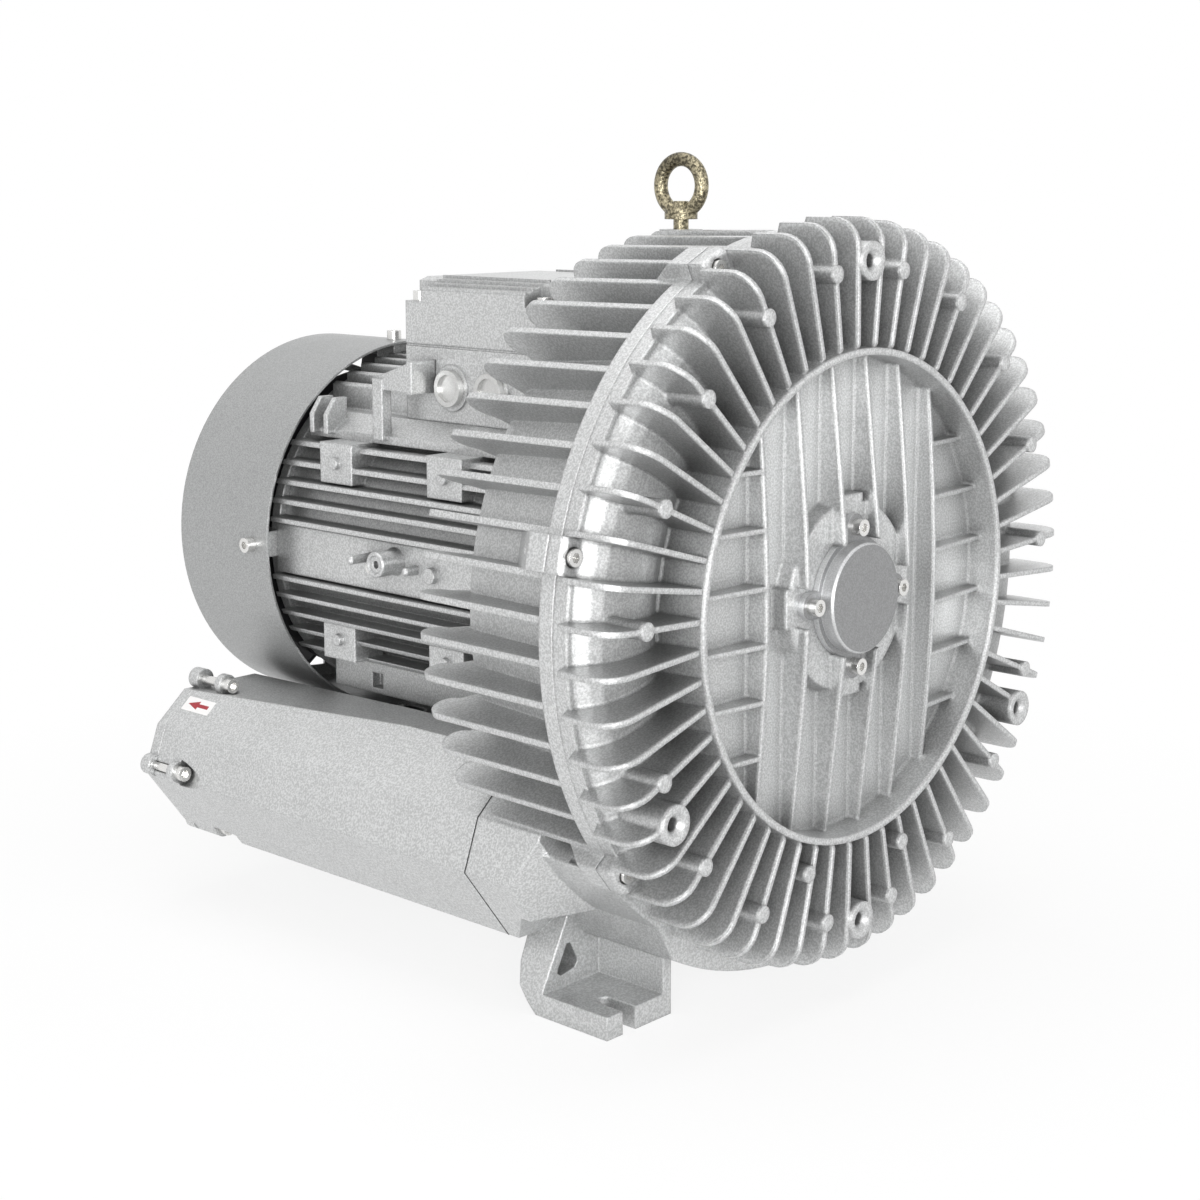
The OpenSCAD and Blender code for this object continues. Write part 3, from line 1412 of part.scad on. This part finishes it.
module support_screws() {
    color(zinc) on_shaft() for (x = [-support_x, support_x], s = support_s)
        translate([x, -support_screw_z, s]) rotate([90, 0, 0]) cap_screw(support_screw_d, 24);
}

impeller_cover();
bearing_cap();
cap_screws();
cover_screws();
casing();
eye_bolt();
shaft();
impeller();
impeller_key();
spacer_sleeve();
shaft_nut();
front_bearing_outer();
front_bearing_balls();
front_bearing_inner();
wave_washer();
shaft_seal();
drive_bearing_outer();
drive_bearing_balls();
drive_bearing_inner();
drive_bearing_retainer();
retainer_screws();
rear_bearing_outer();
rear_bearing_balls();
rear_bearing_inner();
rotor_core();
rotor_end_rings();
motor_frame();
frame_screws();
stator_core();
stator_windings();
rear_shield();
shield_screws();
cooling_fan();
fan_circlip();
fan_cowl();
cowl_screws();
terminal_box();
terminal_box_screws();
box_gasket();
terminal_lid();
lid_screws();
terminal_block();
terminal_studs();
blanking_plugs();
earth_screw();
silencer_left();
silencer_right();
absorber_left();
absorber_right();
end_cover_left();
end_cover_right();
end_cover_screws();
silencer_flange_screws();
rear_support();
support_screws();
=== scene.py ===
"""Looks of the side-channel blower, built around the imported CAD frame."""
import json
import math

import bmesh
import bpy
from mathutils import Matrix, Vector


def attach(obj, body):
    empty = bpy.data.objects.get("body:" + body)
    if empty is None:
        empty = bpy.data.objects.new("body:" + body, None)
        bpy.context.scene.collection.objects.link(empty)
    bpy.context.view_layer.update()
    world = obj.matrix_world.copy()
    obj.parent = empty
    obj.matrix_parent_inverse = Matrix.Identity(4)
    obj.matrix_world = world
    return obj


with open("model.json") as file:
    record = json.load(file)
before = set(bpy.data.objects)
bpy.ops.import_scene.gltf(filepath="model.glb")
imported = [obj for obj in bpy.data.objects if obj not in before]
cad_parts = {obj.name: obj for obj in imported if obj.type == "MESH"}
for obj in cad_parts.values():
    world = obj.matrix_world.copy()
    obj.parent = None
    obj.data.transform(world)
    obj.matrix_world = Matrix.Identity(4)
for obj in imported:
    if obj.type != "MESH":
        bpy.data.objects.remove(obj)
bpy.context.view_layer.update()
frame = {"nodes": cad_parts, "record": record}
scene = bpy.context.scene
scene.view_settings.view_transform = "Standard"

MM = 0.001
SHAFT_Z = 0.315     # height of the shaft over the floor
FRONT_Y = -0.313    # the front ring edge, from which stations are counted


def at(x, s, z):
    """A point in metres from x, station and height over the shaft in mm."""
    return Vector((x * MM, s * MM + FRONT_Y, z * MM + SHAFT_Z))


# Camera, from the fit to the photograph
CAMERA_AT = Vector((-1.2719, -1.2299, 0.6304))
CAMERA_BACK = Vector((-0.7293, -0.6669, 0.1530)).normalized()   # from the object to the camera
CAMERA_SENSOR = 36
CAMERA_LENS = 63.62
CAMERA_SHIFT = (-0.0181, -0.0835)
CAMERA_NEAR = 0.05


def add_camera():
    data = bpy.data.cameras.new("camera")
    data.sensor_width = CAMERA_SENSOR
    data.lens = CAMERA_LENS
    data.shift_x, data.shift_y = CAMERA_SHIFT
    data.clip_start = CAMERA_NEAR
    camera = bpy.data.objects.new("camera", data)
    scene.collection.objects.link(camera)
    right = Vector((0, 0, 1)).cross(CAMERA_BACK).normalized()
    up = CAMERA_BACK.cross(right)
    camera.matrix_world = Matrix.Translation(CAMERA_AT) @ Matrix(
        (right, up, CAMERA_BACK)).transposed().to_4x4()
    scene.camera = camera


# Materials
PAINTED_SHADE_REACH = 0.03           # how far from a recess the painted shade reaches, in metres
PAINTED_SHADE_RANGE = (0.15, 0.85)   # openness over which the painted shade fades from darkest in a recess to the full colour
FLAKE_RANGE = (0.40, 0.62)
FRONT_RANGE = (0.97, 0.995)   # how far a face looks to the front to count as a front face
PATCH_SCALE = 16
SHEEN_SCALE = 45
RAY_SAMPLES = 4               # of the painted recess shade and of the soft edges


def new_material(name):
    material = bpy.data.materials.new(name)
    material.use_nodes = True
    tree = material.node_tree
    return material, tree, tree.nodes["Principled BSDF"]


def add_node(tree, kind, **inputs):
    node = tree.nodes.new(kind)
    for key, value in inputs.items():
        node.inputs[key.replace("_", " ")].default_value = value
    return node


def noise(tree, scale, detail=2.0, roughness=0.55):
    place = tree.nodes.new("ShaderNodeTexCoord")
    texture = add_node(tree, "ShaderNodeTexNoise", Scale=scale, Detail=detail,
                       Roughness=roughness)
    tree.links.new(place.outputs["Object"], texture.inputs["Vector"])
    return texture.outputs["Fac"]


def ramp(tree, source, low, high, positions=(0.35, 0.65)):
    node = tree.nodes.new("ShaderNodeValToRGB")
    node.color_ramp.elements[0].position = positions[0]
    node.color_ramp.elements[1].position = positions[1]
    node.color_ramp.elements[0].color = low
    node.color_ramp.elements[1].color = high
    tree.links.new(source, node.inputs["Fac"])
    return node.outputs["Color"]


def grey(value):
    return (value, value, value, 1)


def shade(color, factor):
    return tuple(min(1.0, c * factor) for c in color[:3]) + (1,)


def multiply(tree, a, b):
    node = tree.nodes.new("ShaderNodeMix")
    node.data_type = "RGBA"
    node.blend_type = "MULTIPLY"
    node.inputs["Factor"].default_value = 1
    tree.links.new(a, node.inputs["A"])
    tree.links.new(b, node.inputs["B"])
    return node.outputs["Result"]


def front_face(tree, tone):
    """White all round, and the given tone on faces that look to the front, along -Y."""
    place = tree.nodes.new("ShaderNodeTexCoord")
    parts = tree.nodes.new("ShaderNodeSeparateXYZ")
    tree.links.new(place.outputs["Normal"], parts.inputs[0])
    facing = tree.nodes.new("ShaderNodeMath")
    facing.operation = "MULTIPLY"
    facing.inputs[1].default_value = -1
    tree.links.new(parts.outputs["Y"], facing.inputs[0])
    return ramp(tree, facing.outputs[0], grey(1), grey(tone), FRONT_RANGE)


def surface(name, color, metallic, rough, grain=900.0, grain_depth=0.0, speckle=0.0,
            patches=0.05, rough_spread=0.06, edge=0.0, face_tone=0.0, painted_recess_shade=0.0):
    """A surface with grain and speckle at millimetre scale, soft patches at 60 mm scale, and
    painted shade in its recesses where asked.
    """
    material, tree, shader = new_material(name)
    shader.inputs["Metallic"].default_value = metallic
    tone = ramp(tree, noise(tree, PATCH_SCALE, 3), shade(color, 1 - patches),
                shade(color, 1 + patches))
    if speckle:
        flakes = ramp(tree, noise(tree, grain, 1, 0.6), grey(1 - speckle),
                      grey(1 + speckle), FLAKE_RANGE)
        tone = multiply(tree, tone, flakes)
    # Painted shade: the base colour darkens where ambient occlusion finds a nearby recess
    if painted_recess_shade:
        shade_in = tree.nodes.new("ShaderNodeAmbientOcclusion")
        shade_in.samples = RAY_SAMPLES
        shade_in.inputs["Distance"].default_value = PAINTED_SHADE_REACH
        tone = multiply(tree, tone, ramp(tree, shade_in.outputs["AO"], grey(1 - painted_recess_shade),
                                         grey(1), PAINTED_SHADE_RANGE))
    if face_tone:
        tone = multiply(tree, tone, front_face(tree, face_tone))
    tree.links.new(tone, shader.inputs["Base Color"])
    tree.links.new(ramp(tree, noise(tree, SHEEN_SCALE, 4), grey(rough - rough_spread),
                        grey(rough + rough_spread)), shader.inputs["Roughness"])
    normal = None
    if edge:
        soft = tree.nodes.new("ShaderNodeBevel")
        soft.samples = RAY_SAMPLES
        soft.inputs["Radius"].default_value = edge
        normal = soft.outputs["Normal"]
    if grain_depth:
        bump = add_node(tree, "ShaderNodeBump", Strength=1.0, Distance=grain_depth)
        tree.links.new(noise(tree, grain, 3), bump.inputs["Height"])
        if normal:
            tree.links.new(normal, bump.inputs["Normal"])
        normal = bump.outputs["Normal"]
    if normal:
        tree.links.new(normal, shader.inputs["Normal"])
    return material


CAST_PAINT = dict(color=(0.57, 0.575, 0.575), metallic=0.80, rough=0.44, grain=640,
                  grain_depth=0.0001, speckle=0.16, patches=0.02, rough_spread=0.03)
# cast_paint and cowl_paint darken their recesses with painted shade
MATERIALS = {
    "cast_paint": surface("cast_paint", edge=0.0022, painted_recess_shade=0.6, **CAST_PAINT),
    "cap_paint": surface("cap_paint", (0.56, 0.565, 0.57), 0.75, 0.42, grain=900,
                         grain_depth=0.00003, speckle=0.10, patches=0.02,
                         rough_spread=0.03, edge=0.0015, face_tone=0.5),
    "cowl_paint": surface("cowl_paint", (0.39, 0.395, 0.395), 0.80, 0.42, grain=800,
                          grain_depth=0.00003, speckle=0.14, patches=0.015,
                          rough_spread=0.02, edge=0.0008, painted_recess_shade=0.3),
    "zinc": surface("zinc", (0.74, 0.735, 0.72), 0.95, 0.24, grain=1500,
                    grain_depth=0.00002, patches=0.05, rough_spread=0.03, edge=0.0006),
    "khaki_zinc": surface("khaki_zinc", (0.27, 0.24, 0.165), 0.9, 0.38, grain=420,
                          grain_depth=0.0008, speckle=0.6, patches=0.4, edge=0.001),
    "steel": surface("steel", (0.55, 0.55, 0.56), 1.0, 0.3, grain_depth=0.00003),
    "bearing_steel": surface("bearing_steel", (0.7, 0.71, 0.72), 1.0, 0.16,
                             grain_depth=0.00001),
    "bare_aluminium": surface("bare_aluminium", (0.72, 0.73, 0.74), 1.0, 0.42,
                              grain_depth=0.0001, speckle=0.05),
    "seal_rubber": surface("seal_rubber", (0.03, 0.03, 0.03), 0.0, 0.62,
                           grain_depth=0.00005),
    "lamination": surface("lamination", (0.34, 0.34, 0.36), 0.9, 0.45,
                          grain_depth=0.00008),
    "enamelled_copper": surface("enamelled_copper", (0.5, 0.2, 0.08), 0.6, 0.35, grain=300,
                                grain_depth=0.0005, speckle=0.2),
    "fan_plastic": surface("fan_plastic", (0.035, 0.035, 0.037), 0.0, 0.5,
                           grain_depth=0.00008),
    "board_plastic": surface("board_plastic", (0.07, 0.065, 0.06), 0.0, 0.45,
                             grain_depth=0.00005),
    "plug_brass": surface("plug_brass", (0.60, 0.60, 0.59), 0.85, 0.33, grain=1300,
                          grain_depth=0.00004, speckle=0.08, patches=0.02,
                          rough_spread=0.03, edge=0.0008),
    "stud_brass": surface("stud_brass", (0.75, 0.58, 0.28), 1.0, 0.25,
                          grain_depth=0.00003),
    "foam": surface("foam", (0.09, 0.09, 0.095), 0.0, 0.95, grain=700,
                    grain_depth=0.001, speckle=0.3),
}
# The cover's channel back is turned in steps that its paint rounds off; its recesses get painted
# shade
COVER_PAINT = surface("cover_paint", edge=0.0045, painted_recess_shade=0.5, **CAST_PAINT)
# Light reaches between the wide-set fins of the casing, so its paint gets less painted shade there
CASING_PAINT = surface("casing_paint", edge=0.0022, painted_recess_shade=0.25, **CAST_PAINT)
LABEL_WHITE = surface("label_white", (0.86, 0.85, 0.84), 0.0, 0.38, grain=1800,
                      grain_depth=0.00002, patches=0.02, rough_spread=0.03)
LABEL_RED = surface("label_red", (0.34, 0.02, 0.03), 0.0, 0.38, grain=1800,
                    grain_depth=0.00002, patches=0.05, rough_spread=0.03)


def dress_nodes():
    for subpart in frame["record"]["subparts"]:
        node = frame["nodes"][subpart["node"]]
        node.data.materials.clear()
        node.data.materials.append(MATERIALS[subpart["material_slot"]])
    frame["nodes"]["impeller_cover"].data.materials[0] = COVER_PAINT
    frame["nodes"]["casing"].data.materials[0] = CASING_PAINT
    frame["nodes"]["box_gasket"].data.materials[0] = MATERIALS["cast_paint"]


def add_piece(name, shape, materials, smooth=None):
    """Makes an object of the bmesh, which rides on the stator."""
    mesh = bpy.data.meshes.new(name)
    shape.to_mesh(mesh)
    shape.free()
    for material in materials:
        mesh.materials.append(material)
    if smooth:
        mesh.shade_smooth()
        mesh.set_sharp_from_angle(angle=smooth)
    piece = bpy.data.objects.new(name, mesh)
    scene.collection.objects.link(piece)
    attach(piece, "stator")
    return piece


# Flow label on the upper bevel of the left silencer, laid out on the bevel's own plane
BEVEL_TOP = Vector((-180, -119))
BEVEL_FOOT = Vector((-224, -158))
LABEL_S = (536, 573)        # stations of its front and rear edge
LABEL_DOWN = (25.0, 39.0)   # how far down the bevel it lies
LABEL_THICK = 0.15
LABEL_CORNER = 0.8
# Half outline of the arrow: shares of the label's length and of half its width
ARROW = ((0.13, 0.25), (0.50, 0.25), (0.50, 0.62), (0.88, 0.0))


def on_bevel(s, down, lift):
    """The point at a station, down the bevel by one distance and off it by another."""
    run = (BEVEL_FOOT - BEVEL_TOP).normalized()
    out = Vector((run.y, -run.x))
    place = BEVEL_TOP + run * down + out * lift
    return at(place.x, s, place.y)


def thin_plate(shape, outline, low, high, slot):
    """A closed plate on the bevel between two lifts."""
    bottom = [shape.verts.new(on_bevel(s, down, low)) for s, down in outline]
    top = [shape.verts.new(on_bevel(s, down, high)) for s, down in outline]
    faces = [shape.faces.new(bottom), shape.faces.new(top)]
    for i in range(len(outline)):
        j = (i + 1) % len(outline)
        faces.append(shape.faces.new((bottom[i], bottom[j], top[j], top[i])))
    for face in faces:
        face.material_index = slot


def flow_label():
    """A white sheet with rounded corners and a plain arrow on it."""
    front, rear = LABEL_S
    middle = sum(LABEL_DOWN) / 2
    half = (LABEL_DOWN[1] - LABEL_DOWN[0]) / 2
    sheet = []
    for quarter in range(4):
        long_side = rear - LABEL_CORNER if quarter in (0, 3) else front + LABEL_CORNER
        short_side = (half - LABEL_CORNER) * (1 if quarter < 2 else -1)
        for step in range(5):
            turn = math.radians(90 * quarter + 22.5 * step)
            sheet.append((long_side + LABEL_CORNER * math.cos(turn),
                          middle + short_side + LABEL_CORNER * math.sin(turn)))
    edge = [(front + (rear - front) * a, half * b) for a, b in ARROW]
    arrow = edge + [(s, -down) for s, down in reversed(edge[:-1])]
    arrow = [(s, middle + down) for s, down in arrow]
    shape = bmesh.new()
    thin_plate(shape, sheet, 0, LABEL_THICK, 0)
    thin_plate(shape, arrow, LABEL_THICK, LABEL_THICK + 0.05, 1)
    bmesh.ops.recalc_face_normals(shape, faces=shape.faces)
    add_piece("flow_label", shape, [LABEL_WHITE, LABEL_RED])


# Cast bosses on the strip along the left of the motor: station, height, reach and radius
STRIP_X = -148
BIG_BOSS = (360, 3, 22, 10.5)
SMALL_BOSSES = ((390, 3, 24, 3.5), (335, -1, 14, 3.5))
ROUND_STEPS = 40


def turned(shape, s, z, profile):
    """Revolves a profile of (radius, reach) pairs, which starts and ends on its axis."""
    rings = []
    for radius, reach in profile:
        if radius == 0:
            rings.append([shape.verts.new(at(STRIP_X - reach, s, z))])
            continue
        rings.append([shape.verts.new(at(STRIP_X - reach, s + radius * math.cos(turn),
                                         z + radius * math.sin(turn)))
                      for turn in (math.tau * i / ROUND_STEPS for i in range(ROUND_STEPS))])
    for low, high in zip(rings, rings[1:]):
        for i in range(ROUND_STEPS):
            j = (i + 1) % ROUND_STEPS
            corners = [low[0], high[j], high[i]] if len(low) == 1 else (
                [low[i], low[j], high[0]] if len(high) == 1 else [low[i], low[j], high[j], high[i]])
            shape.faces.new(corners)


def big_boss_profile(reach, radius):
    return [(0, -2), (radius + 1.5, -2), (radius + 1.2, 0.5), (radius, 2.5), (radius, reach - 1),
            (radius - 1, reach), (radius - 3, reach), (radius - 3.4, reach - 1.6),
            (3.2, reach - 1.6), (2.8, reach - 6), (0, reach - 6)]


def small_boss_profile(reach, radius):
    dome = [(radius * math.cos(turn), reach - radius + radius * math.sin(turn))
            for turn in (math.radians(a) for a in range(0, 90, 15))]
    return [(0, -2), (radius + 1.2, -2), (radius + 0.4, 1)] + dome + [(0, reach)]


def motor_bosses():
    shape = bmesh.new()
    s, z, reach, radius = BIG_BOSS
    turned(shape, s, z, big_boss_profile(reach, radius))
    for s, z, reach, radius in SMALL_BOSSES:
        turned(shape, s, z, small_boss_profile(reach, radius))
    bmesh.ops.recalc_face_normals(shape, faces=shape.faces)
    add_piece("motor_bosses", shape, [MATERIALS["cast_paint"]], smooth=math.radians(35))


# Gaskets that show as a dark hairline round the front joint of each silencer
JOINT_S = 186
GASKET_T = 1.0
GASKET_W = 3.0
GASKET_PROUD = 0.2
JOINT_OUTLINE = ((-14, -121), (-180, -119), (-224, -158), (-238, -197), (-193, -257), (-14, -257))


def inset_outline(points, distance):
    """Moves each corner of a closed outline inwards by the distance."""
    moved = []
    corners = [Vector(p) for p in points]
    for before, here, after in zip(corners[-1:] + corners[:-1], corners, corners[1:] + corners[:1]):
        first = (here - before).normalized()
        second = (after - here).normalized()
        inward = Vector((-first.y, first.x)), Vector((-second.y, second.x))
        moved.append(here + (inward[0] + inward[1]) * distance / (1 + inward[0].dot(inward[1])))
    return moved


def joint_gasket(name, side):
    shape = bmesh.new()
    rings = []
    front, rear = JOINT_S - GASKET_T / 2, JOINT_S + GASKET_T / 2
    for distance, s in ((-GASKET_PROUD, front), (-GASKET_PROUD, rear), (GASKET_W, rear),
                        (GASKET_W, front)):
        rings.append([shape.verts.new(at(side * p.x, s, p.y))
                      for p in inset_outline(JOINT_OUTLINE, distance)])
    for low, high in zip(rings, rings[1:] + rings[:1]):
        for i in range(len(low)):
            j = (i + 1) % len(low)
            shape.faces.new((low[i], low[j], high[j], high[i]))
    bmesh.ops.recalc_face_normals(shape, faces=shape.faces)
    add_piece(name, shape, [MATERIALS["seal_rubber"]])


# Studio
FLOOR_SIZE = 30
FLOOR_DROP = 0.0005         # how far the floor lies under the feet, in metres
FLOOR_TONE = 0.75
FLOOR_GLOW = 0.22
SHADOW_SHARE = 0.22         # how much of the floor's own shading shows near the middle
SHADOW_RANGE = (0.35, 0.9)  # distances from the middle over which that share fades to none


def shows_background(tree):
    """One for the rays that should meet the white background: camera, glossy, transmission."""
    paths = tree.nodes.new("ShaderNodeLightPath")
    result = paths.outputs["Is Camera Ray"]
    for kind in ("Is Glossy Ray", "Is Transmission Ray"):
        most = tree.nodes.new("ShaderNodeMath")
        most.operation = "MAXIMUM"
        tree.links.new(result, most.inputs[0])
        tree.links.new(paths.outputs[kind], most.inputs[1])
        result = most.outputs[0]
    return result


def plain_floor():
    bpy.ops.mesh.primitive_plane_add(size=FLOOR_SIZE, location=(0, 0, -FLOOR_DROP))
    floor = bpy.context.object
    floor.name = "floor"
    material, tree, shader = new_material("floor")
    shader.inputs["Base Color"].default_value = grey(FLOOR_TONE)
    shader.inputs["Emission Color"].default_value = grey(1)
    shader.inputs["Emission Strength"].default_value = FLOOR_GLOW
    shader.inputs["Roughness"].default_value = 0.9
    shader.inputs["Specular IOR Level"].default_value = 0.1
    glow = add_node(tree, "ShaderNodeEmission", Color=grey(1), Strength=1.0)
    place = tree.nodes.new("ShaderNodeTexCoord")
    far = tree.nodes.new("ShaderNodeVectorMath")
    far.operation = "LENGTH"
    tree.links.new(place.outputs["Object"], far.inputs[0])
    fade = tree.nodes.new("ShaderNodeMapRange")
    fade.inputs["From Min"].default_value, fade.inputs["From Max"].default_value = SHADOW_RANGE
    fade.inputs["To Min"].default_value = 1 - SHADOW_SHARE
    fade.inputs["To Max"].default_value = 1
    tree.links.new(far.outputs["Value"], fade.inputs["Value"])
    seen = tree.nodes.new("ShaderNodeMath")
    seen.operation = "MULTIPLY"
    tree.links.new(shows_background(tree), seen.inputs[0])
    tree.links.new(fade.outputs["Result"], seen.inputs[1])
    either = tree.nodes.new("ShaderNodeMixShader")
    tree.links.new(seen.outputs[0], either.inputs[0])
    tree.links.new(shader.outputs["BSDF"], either.inputs[1])
    tree.links.new(glow.outputs["Emission"], either.inputs[2])
    tree.links.new(either.outputs[0], tree.nodes["Material Output"].inputs["Surface"])
    floor.data.materials.append(material)


HORIZON_TONE = 0.16
SKY_TONE = 0.50
SKY_RANGE = (0.05, 0.55)


def white_world():
    world = bpy.data.worlds.new("studio")
    scene.world = world
    world.use_nodes = True
    tree = world.node_tree
    back = tree.nodes["Background"]
    place = tree.nodes.new("ShaderNodeTexCoord")
    parts = tree.nodes.new("ShaderNodeSeparateXYZ")
    tree.links.new(place.outputs["Generated"], parts.inputs[0])
    sky = ramp(tree, parts.outputs["Z"], grey(HORIZON_TONE), grey(SKY_TONE), SKY_RANGE)
    tree.links.new(sky, back.inputs["Color"])
    back.inputs["Strength"].default_value = 1.0
    bright = tree.nodes.new("ShaderNodeBackground")
    bright.inputs["Color"].default_value = grey(1)
    mix = tree.nodes.new("ShaderNodeMixShader")
    tree.links.new(shows_background(tree), mix.inputs[0])
    tree.links.new(back.outputs[0], mix.inputs[1])
    tree.links.new(bright.outputs[0], mix.inputs[2])
    tree.links.new(mix.outputs[0], tree.nodes["World Output"].inputs["Surface"])


# Name, place, width, height and watts of each softbox
SOFTBOXES = (
    ("key", (-2.0, -1.9, 0.68), 1.7, 1.3, 64),
    ("top", (-0.2, 0.0, 2.7), 2.2, 2.2, 30),
    ("front", (1.2, -2.6, 1.3), 1.5, 1.3, 6),
    ("rim", (2.2, 1.2, 1.2), 1.0, 1.6, 3),
)


def light_studio():
    for name, place, width, height, watts in SOFTBOXES:
        data = bpy.data.lights.new(name, "AREA")
        data.shape = "RECTANGLE"
        data.size = width
        data.size_y = height
        data.energy = watts
        lamp = bpy.data.objects.new(name, data)
        scene.collection.objects.link(lamp)
        lamp.location = place
        aim = Vector((0, 0, SHAFT_Z)) - Vector(place)
        lamp.rotation_euler = aim.to_track_quat("-Z", "Y").to_euler()


add_camera()
dress_nodes()
flow_label()
motor_bosses()
joint_gasket("joint_gasket_left", 1)
joint_gasket("joint_gasket_right", -1)
plain_floor()
white_world()
light_studio()
